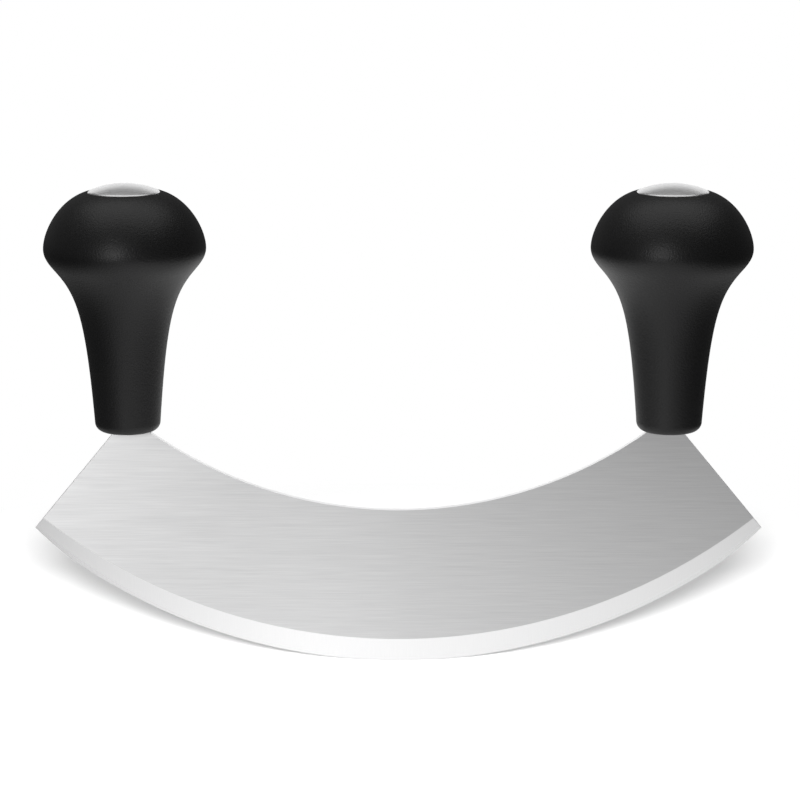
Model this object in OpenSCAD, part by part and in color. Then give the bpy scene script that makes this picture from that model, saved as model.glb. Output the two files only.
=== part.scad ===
// Mezzaluna: a two-handled rocking knife with one curved blade.
//
// The blade stands in the XZ plane with its cutting edge down. The origin is the lowest
// point of the edge, +Z runs up along the handles and +X along the blade. All sizes are
// millimetres.
//
// Each end of the blade rises as a horn. A short key on the horn sits in a slot under the
// handle, and a flat tang runs on up inside. A slotted stud is pinned over the tang, passes
// through the handle and takes a nut in a well under the domed steel cap.

/* [Blade] */
// Length of the blade from tip to tip
blade_len = 230; // [210:1:250]
// Radius of the curved cutting edge
edge_r = 178; // [165:1:200]
// Height of the blade at its middle, from edge to back
blade_h = 49.6; // [40:0.1:56]
// Thickness of the blade
blade_t = 2.2; // [1.8:0.1:3]
// Width of the ground bevel at the middle of the blade
bevel_w = 7.4; // [5:0.1:9]
// How much larger the radius of the bevel line is than the radius of the edge
bevel_spread = 0.7; // [0:0.1:2]
// Thickness left behind the edge where the honed edge starts, at the middle
honed_t = 0.2; // [0.1:0.05:0.4]
// Angle of each honed side of the edge to the middle plane
honed_angle = 18; // [14:1:25]
// How far each tip is rounded up off the circle of the edge
tip_lift = 1.7; // [0.8:0.1:2.5]
// Length at each end over which the edge curves up to the tip
tip_run = 14; // [10:0.5:20]

/* [Horns and tangs] */
// Distance between the axes of the two handles
handle_span = 170.3; // [162:0.2:178]
// Height of the handle's foot above the lowest point of the edge
seat_z = 75.3; // [70:0.1:80]
// Top of the horn, from the handle's axis to its outer corner
horn_outer = 4; // [3.4:0.1:5.5]
// Top of the horn, from the handle's axis to its inner corner
horn_inner = 6.3; // [4.5:0.1:7]
// Thickness of the tang and key, ground thinner than the blade
tang_t = 2; // [1.6:0.05:2.1]
// Width of the flat tang
tang_w = 5.8; // [5:0.1:5.8]
// Length of the tang above the handle's foot
tang_len = 24; // [20:0.5:30]
// Height of the key that sits in the slot under the handle
key_h = 1.5; // [1:0.1:2.2]

/* [Handle outline] */
// Height of the handle from its foot to the rim of the cap
handle_len = 75.7; // [70:0.1:90]
// Radius of the foot of the handle
foot_r = 10.3; // [9.8:0.1:12]
// Rounding round the foot
foot_round = 3; // [1.5:0.1:3]
// Radius of the palm knob at its widest
knob_r = 25.3; // [24:0.1:28]
// Drop from the cap's rim to the widest part of the knob
knob_drop = 17.7; // [16.5:0.1:22]
// Height of the rounded shoulder under the widest part of the knob
shoulder_h = 7.7; // [6.5:0.1:9]
// How far the knob draws in over that shoulder
shoulder_in = 4.3; // [3.5:0.1:5]
// Slope of the underside of the knob, up from the horizontal
under_slope = 51; // [45:1:56]
// Slope of the crown of the knob where it meets the cap
crown_slope = 15; // [11:0.5:24]
// Outward lean of the neck from the upright, just above the foot
neck_lean = 4.1; // [3:0.1:5]
// Length over which the neck stays nearly straight
neck_run = 32; // [26:0.5:36]
// Reach of the curve from the neck into the underside of the knob
flare_reach = 9.6; // [8:0.1:11]
// Reach of the curves that round the shoulder of the knob
round_reach = 3.1; // [2:0.1:3.5]
// Height over which the side of the knob stays upright above its widest part
side_reach = 5.2; // [4.5:0.1:7]
// Reach of the curve of the crown out from the cap
crown_reach = 9.4; // [8:0.1:11]

/* [Handle construction] */
// Thickness of the moulded skin over the core
skin_t = 3; // [2.4:0.1:3.4]
// Thickness of the skin under the core
floor_t = 3; // [2.6:0.1:4]
// Number of rings that lock the skin to the core
lock_rings = 3; // [2:1:4]
// Height of each locking ring
ring_h = 3; // [2:0.1:4]
// Depth of each locking ring in the core
ring_d = 1; // [0.6:0.1:1.2]
// Height of the first locking ring above the foot
ring_z = 11; // [9:0.5:14]
// Distance from one locking ring to the next
ring_pitch = 9; // [7:0.5:10]

/* [Cap] */
// Radius of the domed cap
cap_r = 11.3; // [10.8:0.1:12.2]
// Height of the dome above its rim
dome_h = 2.4; // [1.6:0.1:3]
// Thickness of the cap's sheet
cap_t = 0.8; // [0.6:0.05:1]
// Length of the skirt that reaches down from the rim
skirt_len = 4; // [3.6:0.1:5]
// Thickness of the rubber ring that holds the cap
cap_seal_d = 1.4; // [1.2:0.05:1.6]

/* [Fasteners] */
// Diameter of the stud and the size of its thread
stud_d = 6; // [5.8:0.1:6.4]
// Pitch of the stud's thread
thread_pitch = 1; // [0.8:0.05:1.25]
// Length of the thread
thread_len = 16; // [13:0.5:20]
// Length of the stud that reaches down over the tang
stud_lap = 12; // [9:0.5:14]
// Length of stud that stands out above the nut
stud_proud = 2; // [1:0.1:2.5]
// Diameter of the pin through the stud and tang
pin_d = 2; // [1.5:0.1:2.5]
// Width of the nut across its flats
nut_af = 10; // [9.5:0.1:11]
// Height of the nut
nut_h = 5.2; // [4:0.1:5.6]
// Outer diameter of the flat washer
washer_d = 12; // [11:0.1:13]
// Thickness of the flat washer
washer_t = 1.6; // [1:0.1:1.8]
// Outer diameter of the split lock washer
lock_d = 11.8; // [10.5:0.1:12.4]
// Thickness of the split lock washer
lock_t = 1.6; // [1.2:0.1:1.8]
// Width of the split in the lock washer
lock_gap = 1; // [0.6:0.1:1.6]
// Wall of rubber round the tang at its narrow sides
tang_seal_wall = 1.2; // [1:0.1:1.6]
// Height of the rubber seal round the tang
tang_seal_h = 6; // [5:0.1:8]

/* [Fits] */
// Clearance on each side of the pieces that slide together
slide_gap = 0.1; // [0.05:0.01:0.12]
// Clearance on each side of the stud in the core and washers
bolt_gap = 0.2; // [0.15:0.01:0.3]
// Clearance on each side of the pin, nut and rubber rings
close_gap = 0.02; // [0.01:0.005:0.03]
// Gap between the skin and the core
skin_gap = 0.05; // [0.03:0.01:0.1]
// Gap round a socket spanner on the nut
spanner_gap = 1.6; // [1.2:0.1:1.6]

/* [Hidden] */
$fn = 96;
eps = 0.01;

// Number of straight steps in each curve of the handle's outline
curve_steps = 20;
// Number of straight steps in the rounded tip of the blade
tip_steps = 6;

handle_x = handle_span / 2;
tip = [blade_len / 2, edge_r - sqrt(edge_r^2 - (blade_len / 2)^2) + tip_lift];
horn_top = seat_z + key_h;

// The back is the circle through the middle of the back and the inner corner of each horn
back_rise = seat_z - blade_h;
back_r = ((handle_x - horn_inner)^2 + back_rise^2) / (2 * back_rise);

// The bevel line is a circle of its own, so the bevel is widest at the middle
bevel_r = edge_r + bevel_spread;
bevel_full_w = bevel_w / (1 - honed_t / blade_t);
honed_reach = edge_r / 4;

// Heights inside the handle, from its foot
cap_seat = handle_len - skirt_len;
stack_h = washer_t + lock_t + nut_h;
spigot_h = skirt_len - cap_t;
spigot_r = cap_r - cap_t - 2.5 * slide_gap;
skirt_in_r = cap_r - cap_t;
well_floor = cap_seat + spigot_h - cap_t - stack_h - stud_proud + 2.4;
well_r = nut_af / sqrt(3) + spanner_gap;
stud_top = well_floor + stack_h + stud_proud;
stud_foot = tang_len - stud_lap;
pin_z = stud_foot + stud_lap / 2;
bore_r = stud_d / 2 + bolt_gap;
tang_seal_r = tang_w / 2 + tang_seal_wall;
cap_mouth_r = cap_r + slide_gap;

// The rubber ring fills its groove from the floor to the inside of the cap's skirt
cap_groove_r = skirt_in_r - cap_seal_d;
cap_groove_h = cap_seal_d + 4 * slide_gap;
cap_groove_z = cap_seat + spigot_h / 2 - cap_groove_h / 2;

steel = [0.78, 0.79, 0.8];
bright_steel = [0.88, 0.89, 0.9];
black_plastic = [0.08, 0.08, 0.085];
core_plastic = [0.2, 0.2, 0.21];
rubber = [0.05, 0.05, 0.05];
zinc = [0.66, 0.68, 0.7];

// Point at share t along a cubic curve with the control points p
function curve_point(p, t) =
    p[0] * (1 - t)^3 + 3 * p[1] * (1 - t)^2 * t + 3 * p[2] * (1 - t) * t^2 + p[3] * t^3;

function curve(p) = [for (i = [1:curve_steps]) curve_point(p, i / curve_steps)];

function along(angle) = [cos(angle), sin(angle)];

// Where an outline point goes when the surface is set in by d, facing the angle out
function set_in(point, angle_out, d) = point - d * along(angle_out);

// Outline of the handle from the foot up to the cap, as [radius, height], set in by d
function neck_curve(d) =
    let (
        low = set_in([foot_r, foot_round], 0, d),
        high = set_in(
            [knob_r - shoulder_in, handle_len - knob_drop - shoulder_h], under_slope - 90, d)
    )
    [low, low + neck_run * along(90 - neck_lean), high - flare_reach * along(under_slope), high];

function shoulder_curve(d) =
    let (
        low = neck_curve(d)[3],
        wide = set_in([knob_r, handle_len - knob_drop], 0, d)
    )
    [low, low + round_reach * along(under_slope), wide - [0, round_reach], wide];

function crown_curve(d) =
    let (
        wide = shoulder_curve(d)[3],
        top = set_in([cap_mouth_r, handle_len], 90 - crown_slope, d)
    )
    [wide, wide + [0, side_reach], top + crown_reach * along(-crown_slope), top];

function side_outline(d) =
    concat([neck_curve(d)[0]], curve(neck_curve(d)), curve(shoulder_curve(d)),
           curve(crown_curve(d)));

function foot_arc() =
    [for (a = [-90:10:0]) [foot_r - foot_round, foot_round] + foot_round * along(a)];

// Height of the circle of the edge at x
function edge_z(x) = edge_r - sqrt(edge_r^2 - x^2);

// The rounded tip: a curve that leaves the edge's circle along its slope and ends at the tip
tip_from = [tip[0] - tip_run, edge_z(tip[0] - tip_run)];
tip_slope = asin(tip_from[0] / edge_r);
tip_turn = tip_from + 0.5 * tip_run * along(tip_slope);

function tip_point(t) = tip_from * (1 - t)^2 + 2 * tip_turn * (1 - t) * t + tip * t^2;

// Outline of one half of the blade below the handle's foot, before the circles trim it
function half_blade() =
    let (
        first = tip_point(1 / tip_steps),
        before = tip_from + 3 * (tip_from - first) / norm(tip_from - first)
    )
    concat(
        [[handle_x + horn_outer, seat_z]],
        [for (i = [tip_steps:-1:1]) tip_point(i / tip_steps)],
        [before, [before[0], -eps - edge_r / 20], [0, -eps - edge_r / 20], [0, seat_z]]
    );

// Turns a drawing in X and Y up into the XZ plane and gives it thickness along Y
module upright(t) {
    rotate([90, 0, 0])
        linear_extrude(height = t, center = true)
            children();
}

// A disc with sloping rims: radius r at the faces, full radius r + w in the middle plane
module bevelled_disc(centre_z, r, w, t) {
    translate([0, 0, centre_z])
        rotate([90, 0, 0])
            rotate_extrude()
                polygon([[0, -t / 2], [r, -t / 2], [r + w, 0], [r, t / 2], [0, t / 2]]);
}

module blade_outline() {
    difference() {
        intersection() {
            union() {
                polygon(half_blade());
                mirror([1, 0]) polygon(half_blade());
            }
            translate([0, edge_r]) circle(r = edge_r + 1);
        }
        translate([0, blade_h + back_r]) circle(r = back_r);
    }
}

module ground_blade() {
    honed_w = honed_reach;
    honed_side = honed_w * tan(honed_angle);
    intersection() {
        upright(blade_t) blade_outline();
        bevelled_disc(bevel_w + bevel_r, bevel_r, bevel_full_w, blade_t);
        bevelled_disc(edge_r, edge_r - honed_w, honed_w, 2 * honed_side);
    }
}

module tang(side) {
    translate([side * handle_x, 0, 0])
        difference() {
            upright(tang_t)
                union() {
                    key_low = min(-horn_inner * side, horn_outer * side);
                    translate([key_low, seat_z - key_h])
                        square([horn_inner + horn_outer, 2 * key_h]);
                    translate([-tang_w / 2, seat_z])
                        square([tang_w, tang_len]);
                }
            translate([0, 0, seat_z + pin_z])
                rotate([90, 0, 0])
                    cylinder(d = pin_d + 2 * close_gap, h = 2 * tang_t, center = true);
        }
}

module blade() {
    color(steel)
        union() {
            ground_blade();
            tang(1);
            tang(-1);
        }
}

module handle_solid_2d() {
    polygon(concat([[0, 0]], foot_arc(), side_outline(0), [[0, handle_len]]));
}

// The room inside the skin, from its floor up to the seat of the cap
module inner_2d(d, low, high) {
    intersection() {
        polygon(concat([[0, 0], [foot_r - d, 0]], side_outline(d), [[0, handle_len - d]]));
        translate([0, low]) square([2 * knob_r, high - low]);
    }
}

// The bands where rings on the skin lock into grooves round the core
module ring_bands_2d(gap) {
    for (i = [0:lock_rings - 1])
        translate([0, ring_z + i * ring_pitch + gap])
            square([2 * knob_r, ring_h - 2 * gap]);
}

module core_2d() {
    difference() {
        inner_2d(skin_t, floor_t, cap_seat);
        difference() {
            ring_bands_2d(0);
            inner_2d(skin_t + ring_d, 0, cap_seat);
        }
    }
}

module skin_room_2d() {
    difference() {
        inner_2d(skin_t - skin_gap, floor_t - skin_gap, cap_seat);
        difference() {
            ring_bands_2d(skin_gap);
            inner_2d(skin_t + ring_d - skin_gap, 0, cap_seat);
        }
    }
}

// Hole that a round-ended piece drops into from below
module foot_hole(r, h) {
    translate([0, 0, -1]) cylinder(r = r, h = h + 1);
}

module key_slot(side) {
    slot_low = min(-horn_inner * side, horn_outer * side) - slide_gap;
    translate([slot_low, -tang_t / 2 - slide_gap, -1])
        cube([horn_inner + horn_outer + 2 * slide_gap, tang_t + 2 * slide_gap,
              key_h + slide_gap + 1]);
}

module grip(side) {
    color(black_plastic)
        difference() {
            rotate_extrude() handle_solid_2d();
            rotate_extrude() skin_room_2d();
            translate([0, 0, cap_seat - eps])
                cylinder(r = cap_mouth_r, h = skirt_len + 1);
            foot_hole(tang_seal_r + close_gap, floor_t + 1);
            key_slot(side);
        }
}

module handle_core() {
    color(core_plastic)
        difference() {
            union() {
                rotate_extrude() core_2d();
                translate([0, 0, cap_seat - 1])
                    cylinder(r = spigot_r, h = spigot_h + 1);
            }
            translate([0, 0, cap_groove_z])
                difference() {
                    cylinder(r = cap_r, h = cap_groove_h);
                    cylinder(r = cap_groove_r, h = cap_groove_h);
                }
            translate([0, 0, well_floor])
                cylinder(r = well_r, h = handle_len);
            foot_hole(bore_r, handle_len);
            foot_hole(tang_seal_r + close_gap, tang_seal_h + slide_gap);
        }
}

module end_cap() {
    dome_r = (cap_r^2 + dome_h^2) / (2 * dome_h);
    dome_z = handle_len + dome_h - dome_r;
    color(bright_steel)
        difference() {
            intersection() {
                translate([0, 0, cap_seat]) cylinder(r = cap_r, h = skirt_len + dome_h + 1);
                translate([0, 0, dome_z]) sphere(r = dome_r, $fn = 192);
            }
            intersection() {
                translate([0, 0, cap_seat - 1])
                    cylinder(r = skirt_in_r, h = skirt_len + dome_h + 1);
                translate([0, 0, dome_z]) sphere(r = dome_r - cap_t, $fn = 192);
            }
        }
}

module cap_seal() {
    color(rubber)
        translate([0, 0, cap_groove_z + cap_groove_h / 2])
            rotate_extrude()
                translate([skirt_in_r - cap_seal_d / 2, 0])
                    circle(d = cap_seal_d - 2 * close_gap, $fn = 48);
}

module tang_seal(side) {
    color(rubber)
        difference() {
            translate([0, 0, slide_gap]) cylinder(r = tang_seal_r, h = tang_seal_h - slide_gap);
            key_slot(side);
            cube([tang_w + 2 * close_gap, tang_t + 2 * close_gap, 4 * tang_seal_h], center = true);
        }
}

// The thread is drawn as rings at its pitch, from the crest to the root
module thread_rings() {
    crest = stud_d / 2;
    root = crest - 0.54 * thread_pitch;
    turns = floor(thread_len / thread_pitch);
    rotate_extrude()
        polygon(concat(
            [[0, 0]],
            [for (i = [0:turns - 1], p = [[crest, 0.25], [root, 0.75]])
                [p[0], (i + p[1]) * thread_pitch]],
            [[root, turns * thread_pitch], [0, turns * thread_pitch]]
        ));
}

module tang_stud() {
    turns_h = floor(thread_len / thread_pitch) * thread_pitch;
    color(zinc)
        difference() {
            union() {
                translate([0, 0, stud_foot])
                    cylinder(d = stud_d, h = stud_top - turns_h - stud_foot + eps);
                translate([0, 0, stud_top - turns_h]) thread_rings();
            }
            translate([-stud_d, -tang_t / 2 - slide_gap, stud_foot - 1])
                cube([2 * stud_d, tang_t + 2 * slide_gap, stud_lap + slide_gap + 1]);
            translate([0, 0, pin_z])
                rotate([90, 0, 0])
                    cylinder(d = pin_d + 2 * close_gap, h = 2 * stud_d, center = true);
        }
}

module stud_pin() {
    color(zinc)
        translate([0, 0, pin_z])
            rotate([90, 0, 0])
                cylinder(d = pin_d, h = stud_d - 4 * slide_gap, center = true);
}

module flat_washer() {
    color(zinc)
        translate([0, 0, well_floor])
            difference() {
                cylinder(d = washer_d, h = washer_t);
                translate([0, 0, -1]) cylinder(r = bore_r, h = washer_t + 2);
            }
}

module lock_washer() {
    color(zinc)
        translate([0, 0, well_floor + washer_t])
            difference() {
                cylinder(d = lock_d, h = lock_t);
                translate([0, 0, -1]) cylinder(r = stud_d / 2 + slide_gap, h = lock_t + 2);
                translate([0, 0, lock_t / 2])
                    rotate([20, 0, 0])
                        translate([0, -lock_gap / 2, -lock_t])
                            cube([lock_d, lock_gap, 2 * lock_t]);
            }
}

module clamp_nut() {
    corner_r = nut_af / sqrt(3);
    chamfer = corner_r - nut_af / 2;
    color(zinc)
        translate([0, 0, well_floor + washer_t + lock_t])
            difference() {
                intersection() {
                    cylinder(r = corner_r, h = nut_h, $fn = 6);
                    rotate_extrude()
                        polygon([
                            [0, 0], [nut_af / 2, 0], [corner_r, chamfer / 2],
                            [corner_r, nut_h - chamfer / 2], [nut_af / 2, nut_h], [0, nut_h]
                        ]);
                }
                translate([0, 0, -1])
                    cylinder(d = stud_d + 2 * close_gap, h = nut_h + 2);
            }
}

// Puts a handle piece on its horn: side is 1 on the right and -1 on the left
module on_horn(side) {
    translate([side * handle_x, 0, seat_z]) children();
}

blade();

on_horn(-1) grip(-1);  // grip_left
on_horn(-1) handle_core();  // handle_core_left
on_horn(-1) end_cap();  // end_cap_left
on_horn(-1) cap_seal();  // cap_seal_left
on_horn(-1) tang_seal(-1);  // tang_seal_left
on_horn(-1) tang_stud();  // tang_stud_left
on_horn(-1) stud_pin();  // stud_pin_left
on_horn(-1) flat_washer();  // flat_washer_left
on_horn(-1) lock_washer();  // lock_washer_left
on_horn(-1) clamp_nut();  // clamp_nut_left

on_horn(1) grip(1);  // grip_right
on_horn(1) handle_core();  // handle_core_right
on_horn(1) end_cap();  // end_cap_right
on_horn(1) cap_seal();  // cap_seal_right
on_horn(1) tang_seal(1);  // tang_seal_right
on_horn(1) tang_stud();  // tang_stud_right
on_horn(1) stud_pin();  // stud_pin_right
on_horn(1) flat_washer();  // flat_washer_right
on_horn(1) lock_washer();  // lock_washer_right
on_horn(1) clamp_nut();  // clamp_nut_right
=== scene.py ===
# %% [markdown]
# A mezzaluna is a rocking knife for herbs: one curved blade with an upright handle on each end.
# The construction is already made, to real size, and it loads here as a frame that never moves.
# These cells dress it. Each one makes or finishes a single thing and says why that way was chosen.

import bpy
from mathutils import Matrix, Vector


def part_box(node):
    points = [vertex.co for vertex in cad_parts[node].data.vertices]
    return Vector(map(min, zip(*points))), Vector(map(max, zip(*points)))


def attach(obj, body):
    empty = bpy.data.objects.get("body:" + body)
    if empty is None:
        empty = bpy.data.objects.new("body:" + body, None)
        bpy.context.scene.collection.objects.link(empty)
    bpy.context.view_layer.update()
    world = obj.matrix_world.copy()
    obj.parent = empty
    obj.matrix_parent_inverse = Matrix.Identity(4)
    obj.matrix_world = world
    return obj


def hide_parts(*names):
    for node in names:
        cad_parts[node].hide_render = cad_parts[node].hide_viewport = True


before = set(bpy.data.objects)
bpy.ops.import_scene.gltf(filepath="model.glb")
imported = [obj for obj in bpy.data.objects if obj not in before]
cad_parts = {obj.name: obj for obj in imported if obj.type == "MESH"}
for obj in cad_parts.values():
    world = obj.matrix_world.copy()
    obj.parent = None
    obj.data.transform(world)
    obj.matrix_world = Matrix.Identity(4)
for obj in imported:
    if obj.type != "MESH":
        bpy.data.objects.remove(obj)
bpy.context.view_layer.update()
print("nodes:", len(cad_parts))

# %% [markdown]
# Blender works in metres, but a maker thinks in millimetres. One factor keeps sizes readable.

# %% Tools and units
import math

import bmesh
import bpy
from mathutils import Vector

MM = 0.001
SIDES = {"left": -1, "right": 1}

# %% [markdown]
# The photographer's camera stood almost a metre away with a long lens, so the handles hardly
# converge. The camera is made first, because every later choice of light is judged through it.

# %% The camera
AIM = Vector((0.5, 0.0, 85.0)) * MM
CAMERA_DISTANCE = 968 * MM
CAMERA_RISE = math.radians(11.56)
CAMERA_LENS = 138.6


def look_at(thing, target):
    """Turns a camera or a light so that it faces the target."""
    thing.rotation_mode = "QUATERNION"
    thing.rotation_quaternion = (target - thing.location).to_track_quat("-Z", "Y")


def make_camera():
    camera = bpy.data.objects.new("camera", bpy.data.cameras.new("camera"))
    camera.data.lens = CAMERA_LENS
    back = Vector((0, -math.cos(CAMERA_RISE), math.sin(CAMERA_RISE)))
    camera.location = AIM + CAMERA_DISTANCE * back
    look_at(camera, AIM)
    bpy.context.scene.collection.objects.link(camera)
    bpy.context.scene.camera = camera
    return camera


camera = make_camera()
print("camera at", [round(value, 3) for value in camera.location])

# %% [markdown]
# The sizes of the handle come from the frame where a box can tell them: its axis, its foot, its
# widest radius and the cap. What a box can't tell is how the side curves between those places.
# The outline is three cubic curves, neck, shoulder and crown, with the same reaches as the solid.

# %% The sizes of the handle
grip_low, grip_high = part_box("grip_right")
cap_low, cap_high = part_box("end_cap_right")
seal_low, seal_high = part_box("tang_seal_right")

HANDLE_X = (grip_low.x + grip_high.x) / 2
SEAT_Z = grip_low.z
HANDLE_LEN = grip_high.z - SEAT_Z
KNOB_R = (grip_high.x - grip_low.x) / 2
CAP_R = (cap_high.x - cap_low.x) / 2
CAP_SEAT = cap_low.z - SEAT_Z
DOME_TOP = cap_high.z - SEAT_Z
SEAL_R = (seal_high.x - seal_low.x) / 2

CAP_SHEET = 0.8 * MM
CAP_GAP = 0.1 * MM
CAP_MOUTH_R = CAP_R + CAP_GAP
FOOT_R = 10.3 * MM
FOOT_ROUND = 3 * MM
KNOB_DROP = 17.7 * MM
SHOULDER_H = 7.7 * MM
SHOULDER_IN = 4.3 * MM
UNDER_SLOPE = 51
CROWN_SLOPE = 15
NECK_LEAN = 4.1
NECK_RUN = 32 * MM
FLARE_REACH = 9.6 * MM
ROUND_REACH = 3.1 * MM
SIDE_REACH = 5.2 * MM
CROWN_REACH = 9.4 * MM
SKIN = 2.95 * MM
SKIN_FLOOR = 2.95 * MM
RING_DEPTH = 1 * MM
RING_LOW = 11.05 * MM
RING_HIGH = 13.95 * MM
RING_PITCH = 9 * MM
RING_COUNT = 3
RING_BANDS = [(RING_LOW + i * RING_PITCH, RING_HIGH + i * RING_PITCH) for i in range(RING_COUNT)]
print("handle axis", round(HANDLE_X / MM, 1), "mm, knob radius", round(KNOB_R / MM, 1), "mm")

# %% [markdown]
# A lathe only needs the outline of half the handle. Points are (radius, height) above the foot.
# Setting a curve in by the skin's thickness gives the inside of the skin from the same curves.

# %% The outline of the handle
CURVE_STEPS = 28
CORNER_STEPS = 5


def along(degrees):
    """A step of length one at an angle up from the horizontal."""
    angle = math.radians(degrees)
    return Vector((math.cos(angle), math.sin(angle)))


def curve(controls):
    """Points along a cubic curve, without its first point."""
    a, b, c, d = controls
    shares = [i / CURVE_STEPS for i in range(1, CURVE_STEPS + 1)]
    return [
        a * (1 - t) ** 3 + 3 * b * (1 - t) ** 2 * t + 3 * c * (1 - t) * t ** 2 + d * t ** 3
        for t in shares
    ]


def side_outline(inset):
    """The side of the handle from the foot's rounding up to the cap, set in by inset."""
    low = Vector((FOOT_R, FOOT_ROUND)) - inset * along(0)
    under = Vector((KNOB_R - SHOULDER_IN, HANDLE_LEN - KNOB_DROP - SHOULDER_H))
    under = under - inset * along(UNDER_SLOPE - 90)
    wide = Vector((KNOB_R, HANDLE_LEN - KNOB_DROP)) - inset * along(0)
    top = Vector((CAP_MOUTH_R, HANDLE_LEN)) - inset * along(90 - CROWN_SLOPE)
    up = Vector((0, 1))
    neck = [low, low + NECK_RUN * along(90 - NECK_LEAN), under - FLARE_REACH * along(UNDER_SLOPE)]
    shoulder = [under, under + ROUND_REACH * along(UNDER_SLOPE), wide - ROUND_REACH * up]
    crown = [wide, wide + SIDE_REACH * up, top + CROWN_REACH * along(-CROWN_SLOPE)]
    return [low, *curve([*neck, under]), *curve([*shoulder, wide]), *curve([*crown, top])]


def softened(before, corner, after, reach):
    """A corner of an outline, rounded over a short reach on both of its sides."""
    start = corner + (before - corner).normalized() * reach
    end = corner + (after - corner).normalized() * reach
    shares = [i / CORNER_STEPS for i in range(CORNER_STEPS + 1)]
    return [start * (1 - t) ** 2 + 2 * corner * (1 - t) * t + end * t ** 2 for t in shares]


print("points in the outline:", len(side_outline(0)))

# %% [markdown]
# The lathe turns a closed outline into a solid. Every ring has the same number of corners, so the
# faces are clean four-sided strips, and a point on the axis closes a fan of triangles. Shading is
# smooth except where two faces meet at more than a set angle, which keeps real edges crisp.

# %% The lathe
LATHE_STEPS = 192
CRISP_ANGLE = math.radians(32)
AXIS_R = 1e-7


def turned(name, outline, place):
    """A solid of revolution about an upright axis through place."""
    shape = bmesh.new()
    turn = 2 * math.pi / LATHE_STEPS
    rings = []
    for radius, height in outline:
        count = 1 if radius < AXIS_R else LATHE_STEPS
        spots = [(radius * math.cos(i * turn), radius * math.sin(i * turn)) for i in range(count)]
        rings.append([shape.verts.new((x, y, height)) for x, y in spots])
    for ring, following in zip(rings, rings[1:] + rings[:1]):
        if len(ring) == 1 and len(following) == 1:
            continue
        for i in range(LATHE_STEPS):
            pairs = [(ring, i), (ring, i + 1), (following, i + 1), (following, i)]
            corners = [circle[spot % len(circle)] for circle, spot in pairs]
            shape.faces.new(list(dict.fromkeys(corners)))
    bmesh.ops.recalc_face_normals(shape, faces=shape.faces)
    mesh = bpy.data.meshes.new(name)
    shape.to_mesh(mesh)
    shape.free()
    mesh.shade_smooth()
    mesh.set_sharp_from_angle(angle=CRISP_ANGLE)
    piece = bpy.data.objects.new(name, mesh)
    piece.location = place
    bpy.context.scene.collection.objects.link(piece)
    return piece


def handle_place(side):
    return Vector((SIDES[side] * HANDLE_X, 0, SEAT_Z))


# %% [markdown]
# The grip is a moulded skin, hollow inside for its core, so its outline runs up the outside, over
# a small rounded lip, down the cup for the cap and back down the inside past three locking rings.
# The lip is what catches the light round the cap, so it is worth its few points.

# %% The grips
LIP_REACH = 0.45 * MM
SEAL_GAP = 0.02 * MM
SEAL_HOLE_R = SEAL_R + SEAL_GAP
INNER_STEP = 1.5 * MM
FOOT_DEGREES = 9


def foot_points():
    """The rounded foot, from its flat underside to the side."""
    middle = Vector((FOOT_R - FOOT_ROUND, FOOT_ROUND))
    return [middle + FOOT_ROUND * along(angle) for angle in range(-90, 0, FOOT_DEGREES)]


def inner_radius(height, line):
    """How far the inside of the skin is from the axis at a height."""
    for low, high in zip(line, line[1:]):
        if low.y <= height <= high.y:
            share = (height - low.y) / (high.y - low.y)
            return low.x + share * (high.x - low.x)
    return line[0].x


def inner_points():
    """The inside of the skin from its floor up to the seat of the cap, with its locking rings."""
    line = side_outline(SKIN)
    stops = [SKIN_FLOOR]
    while stops[-1] + INNER_STEP < CAP_SEAT:
        stops.append(stops[-1] + INNER_STEP)
    stops.append(CAP_SEAT)
    plain = [z for z in stops if not any(low <= z <= high for low, high in RING_BANDS)]
    points = [Vector((inner_radius(z, line), z)) for z in plain]
    for low, high in RING_BANDS:
        for z, depth in ((low, 0), (low, RING_DEPTH), (high, RING_DEPTH), (high, 0)):
            points.append(Vector((inner_radius(z, line) - depth, z)))
    return ring_order(points)


def ring_order(points):
    """Sorts by height, and at one height keeps the order in which a ring's steps were added."""
    return sorted(points, key=lambda point: round(point.y, 7))


def grip_outline():
    side = side_outline(0)
    seat = Vector((CAP_MOUTH_R, CAP_SEAT))
    lip = softened(side[-2], side[-1], seat, LIP_REACH)
    outside = [Vector((SEAL_HOLE_R, 0)), *foot_points(), *side[:-1], *lip]
    inside = list(reversed(inner_points()))
    return [*outside, seat, *inside, Vector((SEAL_HOLE_R, SKIN_FLOOR))]


def make_grip(side):
    grip = turned(f"moulded_grip_{side}", grip_outline(), handle_place(side))
    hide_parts(f"grip_{side}")
    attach(grip, "root")
    return grip


grips = [make_grip(side) for side in SIDES]
print("faces in one grip:", len(grips[0].data.polygons))

# %% [markdown]
# The cap is pressed from sheet: a shallow dome with a skirt that goes down into the cup. Pressing
# can't make a sharp corner, so the rim is rounded, and the gap round it stays open to the skin.

# %% The caps
RIM_REACH = 0.6 * MM
DOME_H = 2.4 * MM
DOME_R = (CAP_R ** 2 + DOME_H ** 2) / (2 * DOME_H)
DOME_STEPS = 24


def dome_points(sphere_r, reach):
    """The dome from the axis out to a reach, as points on a sphere."""
    middle = DOME_TOP - DOME_R
    spread = math.asin(reach / sphere_r)
    angles = [spread * i / DOME_STEPS for i in range(DOME_STEPS + 1)]
    return [Vector((sphere_r * math.sin(a), middle + sphere_r * math.cos(a))) for a in angles]


def cap_outline():
    outer = dome_points(DOME_R, CAP_R)
    inner = dome_points(DOME_R - CAP_SHEET, CAP_R - CAP_SHEET)
    foot = Vector((CAP_R, CAP_SEAT))
    rim = softened(outer[-2], outer[-1], foot, RIM_REACH)
    kept = [point for point in outer[:-1] if point.x < rim[0].x]
    return [*kept, *rim, foot, Vector((CAP_R - CAP_SHEET, CAP_SEAT)), *reversed(inner)]


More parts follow.
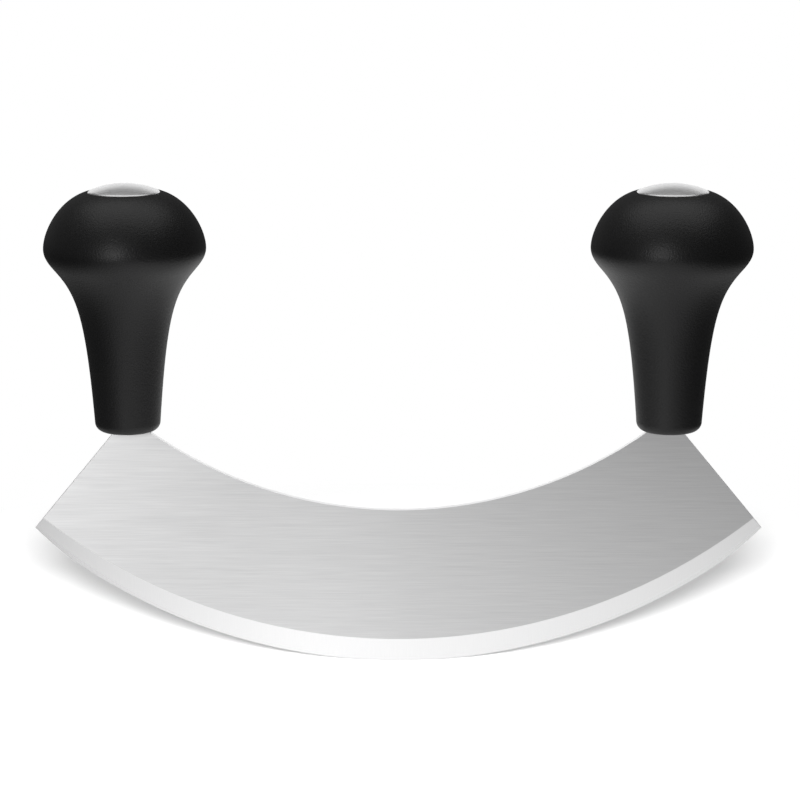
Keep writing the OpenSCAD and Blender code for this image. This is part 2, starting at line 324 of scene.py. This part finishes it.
def make_cap(side):
    cap = turned(f"domed_cap_{side}", cap_outline(), handle_place(side))
    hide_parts(f"end_cap_{side}")
    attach(cap, "root")
    return cap


caps = [make_cap(side) for side in SIDES]
print("faces in one cap:", len(caps[0].data.polygons))

# %% [markdown]
# Materials are node trees, and node trees are formulas. A wire stands for one socket, and Python's
# own signs then write the formula: 0.3 + 0.1 * streaks adds the Math nodes for us. The reflected
# forms, such as __rsub__, let a plain number stand on the left.

# %% Wires and recipes
class Wire:
    """A socket of a node tree that Python's signs can combine."""

    def __init__(self, recipe, socket):
        self.recipe = recipe
        self.socket = socket

    def maths(self, operation, first, second):
        return self.recipe.node("ShaderNodeMath", {"operation": operation}, {0: first, 1: second})

    def __add__(self, other):
        return self.maths("ADD", self, other)

    def __radd__(self, other):
        return self.maths("ADD", other, self)

    def __sub__(self, other):
        return self.maths("SUBTRACT", self, other)

    def __rsub__(self, other):
        return self.maths("SUBTRACT", other, self)

    def __mul__(self, other):
        return self.maths("MULTIPLY", self, other)

    def __rmul__(self, other):
        return self.maths("MULTIPLY", other, self)


class Recipe:
    """A node tree that grows by one node at a time."""

    def __init__(self, tree):
        self.tree = tree
        tree.nodes.clear()

    def node(self, kind, settings=None, inputs=None, output=0):
        """Adds a node, sets it up, then fills its sockets with values or wires."""
        made = self.tree.nodes.new(kind)
        for name, value in (settings or {}).items():
            setattr(made, name, value)
        for name, value in (inputs or {}).items():
            if isinstance(value, Wire):
                self.tree.links.new(value.socket, made.inputs[name])
            else:
                made.inputs[name].default_value = value
        return Wire(self, made.outputs[output]) if made.outputs else None

    def place(self):
        """Where a point lies on its own piece, in metres."""
        return self.node("ShaderNodeTexCoord", output="Object")

    def noise(self, sizes, detail=2.0):
        """Cloudy noise whose spots have these sizes along X, Y and Z, in millimetres."""
        scale = [1 / (size * MM) for size in sizes]
        stretched = self.node(
            "ShaderNodeVectorMath", {"operation": "MULTIPLY"}, {0: self.place(), 1: scale})
        return self.node("ShaderNodeTexNoise", inputs={"Vector": stretched, "Scale": 1.0,
                                                       "Detail": detail})

    def blend(self, share, low, high):
        """A colour between two colours."""
        return self.node("ShaderNodeMix", {"data_type": "RGBA"},
                         {0: share, 6: (*low, 1.0), 7: (*high, 1.0)}, output=2)

    def share(self, value, width):
        """A value measured in widths, held between 0 and 1."""
        return self.node("ShaderNodeMath", {"operation": "MULTIPLY", "use_clamp": True},
                         {0: value, 1: 1 / width})

    def relief(self, height, depth):
        """A surface normal bent as if the height stood out by depth, in millimetres."""
        return self.node("ShaderNodeBump", inputs={"Height": height, "Distance": depth * MM,
                                                   "Strength": 1.0})


def new_finish(name):
    """An empty material and the recipe that fills it."""
    material = bpy.data.materials.new(name)
    material.use_nodes = True
    return material, Recipe(material.node_tree)


def polish(recipe, **sockets):
    """Ends a recipe with the one shader that every finish here uses."""
    inputs = {name.replace("_", " "): value for name, value in sockets.items()}
    shader = recipe.node("ShaderNodeBsdfPrincipled", inputs=inputs)
    recipe.node("ShaderNodeOutputMaterial", inputs={"Surface": shader})


print("a recipe is ready for each finish")

# %% [markdown]
# Brushed steel looks the way it does because of fine scratches that all run one way. Light spreads
# across the scratches and stays tight along them, which is what the anisotropic setting says. The
# scratches themselves are noise stretched along the blade, a few to the millimetre, and they vary
# the colour, the roughness and the relief together.

# %% The brushed faces of the blade
def brushed_face():
    material, recipe = new_finish("brushed_face")
    fine = recipe.noise((14, 50, 0.22), detail=3.0)
    broad = recipe.noise((45, 50, 1.1))
    streaks = 0.65 * fine + 0.35 * broad
    polish(
        recipe,
        Base_Color=recipe.blend(streaks, (0.57, 0.57, 0.575), (0.83, 0.83, 0.83)),
        Metallic=1.0,
        Roughness=0.24 + 0.16 * streaks,
        Anisotropic=0.7,
        Anisotropic_Rotation=0.25,
        Normal=recipe.relief(streaks, 0.004),
    )
    return material


def ground_bevel_painted_reflection():
    """The bevel is ground afterwards on a finer wheel, across its width. Its near-white colour is
    partly painted: a painted reflection of the bright floor it faces, lighter than the steel of the
    face.
    """
    material, recipe = new_finish("ground_bevel_painted_reflection")
    lines = recipe.noise((0.35, 50, 6))
    polish(
        recipe,
        # Near white in part as a painted reflection of the bright floor that the bevel faces.
        Base_Color=recipe.blend(lines, (0.93, 0.93, 0.935), (0.99, 0.99, 0.99)),
        Metallic=1.0,
        Roughness=0.26 + 0.1 * lines,
        Normal=recipe.relief(lines, 0.002),
    )
    return material


def honed_edge_painted_reflection():
    material, recipe = new_finish("honed_edge_painted_reflection")
    lines = recipe.noise((0.2, 50, 2))
    polish(
        recipe,
        # Near white: the steel's colour pushed up as a painted reflection of the bright floor the
        # edge faces.
        Base_Color=recipe.blend(lines, (0.9, 0.9, 0.9), (0.97, 0.97, 0.97)),
        Metallic=1.0,
        Roughness=0.16 + 0.08 * lines,
    )
    return material


def cut_rim():
    """The back and the ends show the cut through the sheet, dressed with a belt."""
    material, recipe = new_finish("cut_rim")
    lines = recipe.noise((2.5, 0.18, 2.5))
    polish(
        recipe,
        Base_Color=recipe.blend(lines, (0.62, 0.62, 0.63), (0.86, 0.86, 0.86)),
        Metallic=1.0,
        Roughness=0.3 + 0.15 * lines,
        Normal=recipe.relief(lines, 0.004),
    )
    return material


# %% [markdown]
# The blade keeps its exact solid, because a cutting edge is a matter of true surfaces. Each face of
# it takes the finish of the tool that made it, and the bevel and the honed edge are also painted
# near white, a painted reflection of the bright floor they face. The way a face looks tells them
# apart: the flats look straight out, the bevel a few degrees down, the honed edge further down, and
# the rim along
# Y not at all.

# %% The blade
FLAT_LOOK = 0.9995
BEVEL_LOOK = 0.968
HONED_LOOK = 0.9


def blade_finish(look):
    """Which finish a face of the blade takes, from how squarely it looks along Y."""
    if look > FLAT_LOOK:
        return 0
    if look > BEVEL_LOOK:
        return 1
    if look > HONED_LOOK:
        return 2
    return 3


def dress_blade():
    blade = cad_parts["blade"]
    blade.data.materials.clear()
    for material in (brushed_face(), ground_bevel_painted_reflection(), honed_edge_painted_reflection(), cut_rim()):
        blade.data.materials.append(material)
    for face in blade.data.polygons:
        face.material_index = blade_finish(abs(face.normal.y))
    return blade


blade = dress_blade()
finish_of_face = [face.material_index for face in blade.data.polygons]
counts = [finish_of_face.count(i) for i in range(len(blade.data.materials))]
print("faces of the blade by finish:", counts)

# %% [markdown]
# The grip's black is never quite black. A fine grain from the mould breaks up the highlight, and a
# slow cloudiness in the gloss keeps a large smooth form from looking computed.

# %% The finishes of the handle
def moulded_black():
    material, recipe = new_finish("moulded_black")
    grain = recipe.noise((0.55, 0.55, 0.55))
    cloud = recipe.noise((9, 9, 9))
    polish(
        recipe,
        Base_Color=recipe.blend(grain, (0.003, 0.003, 0.0032), (0.009, 0.009, 0.0095)),
        Roughness=0.36 + 0.1 * grain + 0.06 * cloud,
        Specular_IOR_Level=0.4,
        Normal=recipe.relief(grain, 0.09),
    )
    return material


def satin_cap():
    material, recipe = new_finish("satin_cap")
    grain = recipe.noise((0.16, 0.16, 0.16))
    cloud = recipe.noise((4, 4, 4))
    polish(
        recipe,
        Base_Color=recipe.blend(cloud, (0.6, 0.6, 0.605), (0.7, 0.7, 0.7)),
        Metallic=1.0,
        Roughness=0.32 + 0.1 * grain,
        Normal=recipe.relief(grain, 0.003),
    )
    return material


def plain_part(name, low, high, size, roughness, metallic=0.0):
    """A finish for a piece inside the handle: two tones, a spot size and a roughness."""
    material, recipe = new_finish(name)
    spots = recipe.noise((size, size, size), detail=3.0)
    polish(
        recipe,
        Base_Color=recipe.blend(spots, low, high),
        Metallic=metallic,
        Roughness=roughness + 0.12 * spots,
        Normal=recipe.relief(spots, 0.01),
    )
    return material


# %% [markdown]
# The pieces inside never show while the handle is whole, but a stranger may take it apart, so each
# of them gets the finish of what it is: a moulded core, rubber seals and plain steel fasteners.

# %% Dress the handles
INSIDE = {
    "core_plastic": ["handle_core"],
    "seal_rubber": ["cap_seal", "tang_seal"],
    "fastener_steel": ["tang_stud", "stud_pin", "flat_washer", "lock_washer", "clamp_nut"],
}


def wear(piece, material):
    piece.data.materials.clear()
    piece.data.materials.append(material)


def dress_handles():
    black = moulded_black()
    satin = satin_cap()
    inside = {
        "core_plastic": plain_part("core_plastic", (0.03,) * 3, (0.06,) * 3, 1.5, 0.5),
        "seal_rubber": plain_part("seal_rubber", (0.01,) * 3, (0.025,) * 3, 0.4, 0.7),
        "fastener_steel": plain_part(
            "fastener_steel", (0.42, 0.43, 0.44), (0.6, 0.61, 0.62), 0.8, 0.28, metallic=1.0),
    }
    for grip in grips:
        wear(grip, black)
    for cap in caps:
        wear(cap, satin)
    for slot, kinds in INSIDE.items():
        for name in [f"{kind}_{side}" for kind in kinds for side in SIDES]:
            wear(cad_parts[name], inside[slot])
    return len(inside)


print("finishes inside the handles:", dress_handles())

# %% [markdown]
# The floor is a wide pale disc under the knife. Close in it is matt and takes the shadow. Further
# out it fades to the white of the room, so no horizon line shows behind the knife. Reflections see
# a steady glow in its place, brightest a little left of the middle, which gives the blade its slow
# fade to the right. The glow ends not far out, so that the sides of the black grips stay dark. From
# underneath the floor is clear, so that the knife can be looked at from below.

# %% How the floor looks to a reflection
GLOW_PEAK = 1.0
GLOW_PEAK_X = -0.028
GLOW_RISE = 4.0
GLOW_FALL = 2.2
GLOW_ROUNDING = 0.15
GLOW_RANGE = (0.3, 1.2)
GLOW_REACH = 0.54
REACH_FADE = 0.2
GLOW_SIDE = 0.27
SIDE_FADE = 0.1
GLOW_BEYOND = 0.06


def glow_strength(recipe, distance):
    """The glow at a distance from the knife: a hill along X that fades outwards."""
    sideways = recipe.node("ShaderNodeSeparateXYZ", inputs={0: recipe.place()}, output="X")
    from_peak = sideways - GLOW_PEAK_X
    left_slope = GLOW_PEAK + GLOW_RISE * from_peak
    right_slope = GLOW_PEAK - GLOW_FALL * from_peak
    hill = recipe.node("ShaderNodeMath", {"operation": "SMOOTH_MIN"},
                       {0: left_slope, 1: right_slope, 2: GLOW_ROUNDING})
    lowest, highest = GLOW_RANGE
    level = recipe.node("ShaderNodeClamp", inputs={0: hill, 1: lowest, 2: highest})
    near = recipe.share(GLOW_REACH - distance, REACH_FADE)
    off_middle = recipe.node("ShaderNodeMath", {"operation": "ABSOLUTE"}, {0: sideways})
    beside = recipe.share(GLOW_SIDE - off_middle, SIDE_FADE)
    return GLOW_BEYOND + near * beside * level


print("glow at its peak:", GLOW_PEAK, "and far out:", GLOW_BEYOND)

# %% The floor
WHITE = (1, 1, 1, 1)
FLOOR_COLOUR = (0.9, 0.9, 0.9, 1)
FLOOR_R = 4.0
FLOOR_SIDES = 128
FADE_START = 0.205
FADE_WIDTH = 0.05


def floor_paint():
    material, recipe = new_finish("floor_paint")
    distance = recipe.node("ShaderNodeVectorMath", {"operation": "LENGTH"}, {0: recipe.place()},
                           output="Value")
    matt = recipe.node("ShaderNodeBsdfDiffuse", inputs={"Color": FLOOR_COLOUR})
    white = recipe.node("ShaderNodeEmission", inputs={"Color": WHITE, "Strength": 1.0})
    fade = recipe.share(distance - FADE_START, FADE_WIDTH)
    seen_top = recipe.node("ShaderNodeMixShader", inputs={0: fade, 1: matt, 2: white})
    glow = recipe.node("ShaderNodeEmission", inputs={"Color": WHITE,
                                                     "Strength": glow_strength(recipe, distance)})
    seen = recipe.node("ShaderNodeLightPath", output="Is Camera Ray")
    top = recipe.node("ShaderNodeMixShader", inputs={0: seen, 1: glow, 2: seen_top})
    clear = recipe.node("ShaderNodeBsdfTransparent")
    under = recipe.node("ShaderNodeNewGeometry", output="Backfacing")
    both = recipe.node("ShaderNodeMixShader", inputs={0: under, 1: top, 2: clear})
    recipe.node("ShaderNodeOutputMaterial", inputs={"Surface": both})
    return material


def make_floor():
    shape = bmesh.new()
    bmesh.ops.create_circle(shape, cap_ends=True, radius=FLOOR_R, segments=FLOOR_SIDES)
    mesh = bpy.data.meshes.new("floor")
    shape.to_mesh(mesh)
    shape.free()
    floor = bpy.data.objects.new("floor", mesh)
    mesh.materials.append(floor_paint())
    bpy.context.scene.collection.objects.link(floor)
    return floor


floor = make_floor()
print("floor radius", FLOOR_R, "m")

# %% [markdown]
# Steel and gloss show the room more than they show themselves. The camera sees a white room, but
# reflections see a dark one, which keeps the black grips black at their sides.

# %% The room
ROOM_GREY = 0.12
ROOM_LEAN = 0.04


def make_room():
    world = bpy.data.worlds.new("room")
    world.use_nodes = True
    bpy.context.scene.world = world
    recipe = Recipe(world.node_tree)
    direction = recipe.node("ShaderNodeTexCoord", output="Generated")
    sideways = recipe.node("ShaderNodeSeparateXYZ", inputs={0: direction}, output="X")
    seen = recipe.node("ShaderNodeLightPath", output="Is Camera Ray")
    grey = ROOM_GREY - ROOM_LEAN * sideways
    strength = seen + (1 - seen) * grey
    light = recipe.node("ShaderNodeBackground", inputs={"Color": WHITE, "Strength": strength})
    recipe.node("ShaderNodeOutputWorld", inputs={"Surface": light})
    bpy.context.scene.view_settings.view_transform = "Standard"
    return world


room = make_room()
print("room grey", ROOM_GREY)

# %% [markdown]
# Four lamps light the knife as a product photographer would. A big softbox overhead lights the
# crowns and caps, and a tall narrow one to the left of the camera draws the line down each grip. A
# low wide one behind shines on the steel alone, because the caps and the back of the blade mirror
# what is behind them. A small lamp just above the camera shines on the floor alone. It keeps the
# floor white without washing out the black grips, and its soft shadow shows behind the two rising
# ends of the cutting edge.

# %% The lights
def softbox(name, place, target, size, power):
    """A soft rectangular lamp that faces a target."""
    lamp = bpy.data.lights.new(name, "AREA")
    lamp.shape = "RECTANGLE"
    lamp.size, lamp.size_y = size
    lamp.energy = power
    light = bpy.data.objects.new(name, lamp)
    light.location = place
    look_at(light, Vector(target))
    bpy.context.scene.collection.objects.link(light)
    return light


def light_only(light, pieces):
    """Lets a light shine on a few pieces and on nothing else."""
    chosen = bpy.data.collections.new(f"{light.name}_shines_on")
    for piece in pieces:
        chosen.objects.link(piece)
    light.light_linking.receiver_collection = chosen


MIDDLE = (0.0, 0.0, 0.09)
overhead = softbox(
    "overhead", place=(0.0, 0.0, 1.3), target=MIDDLE, size=(2.0, 1.3), power=9.0)
front_strip = softbox(
    "front_strip", place=(-0.28, -1.0, 0.3), target=MIDDLE, size=(0.13, 0.4), power=2.4)
steel_back = softbox(
    "steel_back", place=(0.0, 1.3, 0.5), target=MIDDLE, size=(1.8, 0.8), power=5.5)
floor_wash = softbox(
    "floor_wash", place=(0.0, -0.948, 0.35), target=(0.0, 0.05, 0.0), size=(0.2, 0.12), power=34.0)
light_only(steel_back, [blade, *caps])
light_only(floor_wash, [floor])
print("lights:", [light.name for light in (overhead, front_strip, steel_back, floor_wash)])
